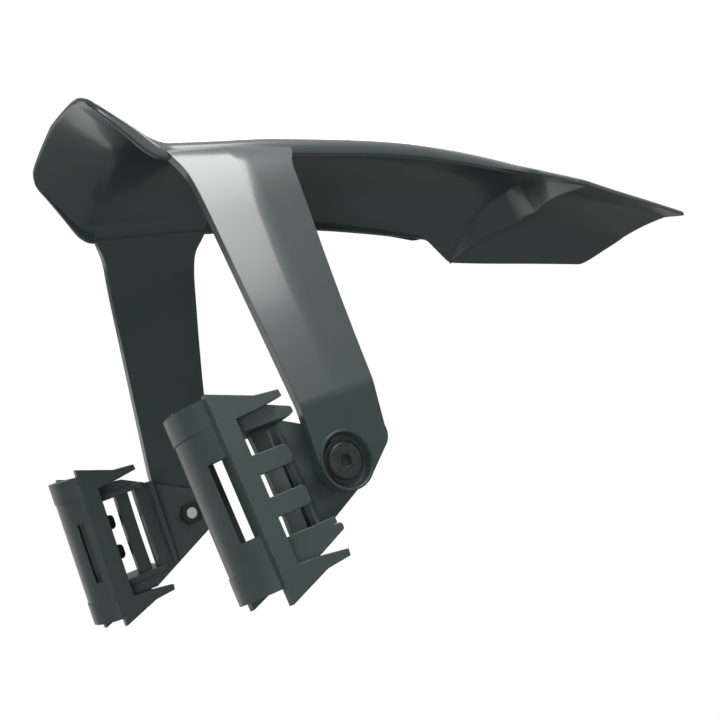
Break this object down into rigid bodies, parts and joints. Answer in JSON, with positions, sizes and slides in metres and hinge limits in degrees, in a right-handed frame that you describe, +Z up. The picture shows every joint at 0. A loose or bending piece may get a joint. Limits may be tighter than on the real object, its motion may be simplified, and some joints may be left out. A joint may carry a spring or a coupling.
{
  "type": "bicycle mudguard",
  "caption": "Fork-mounted front bicycle mudguard: a moulded blade with two arms that pivot on strap-on cradle brackets.",
  "frame": {"origin": "middle of the pivot axis that joins both arms to their brackets", "axes": "+X to the bicycle's right along the pivot axis, +Y forward, +Z up"},
  "size_m": [0.1728, 0.3195, 0.2097],
  "materials": {
    "blade": "satin moulded plastic, greenish black",
    "bracket": "fine-grained moulded plastic, greenish black",
    "screw": "blackened steel",
    "washer": "blackened steel",
    "nut": "blackened steel"
  },
  "bodies": {
    "right_bracket": {"bracket_right": "bracket", "pivot_screw_right": "screw", "pivot_washer_right": "washer", "pivot_nut_right": "nut"},
    "blade": {"mudguard_blade": "blade"},
    "left_bracket": {"bracket_left": "bracket", "pivot_screw_left": "screw", "pivot_washer_left": "washer", "pivot_nut_left": "nut"}
  },
  "joints": [
    {"name": "right_pivot", "type": "hinge", "parent": "right_bracket", "child": "blade", "pos_m": [0.07, 0, 0], "axis": [1, 0, 0], "range_deg": [-30, 15]},
    {"name": "left_pivot", "type": "hinge", "parent": "blade", "child": "left_bracket", "pos_m": [-0.07, 0, 0], "axis": [1, 0, 0], "range_deg": [-15, 30]}
  ],
  "couplings": [
    {"joint": "left_pivot", "follows": "right_pivot", "ratio": -1}
  ]
}
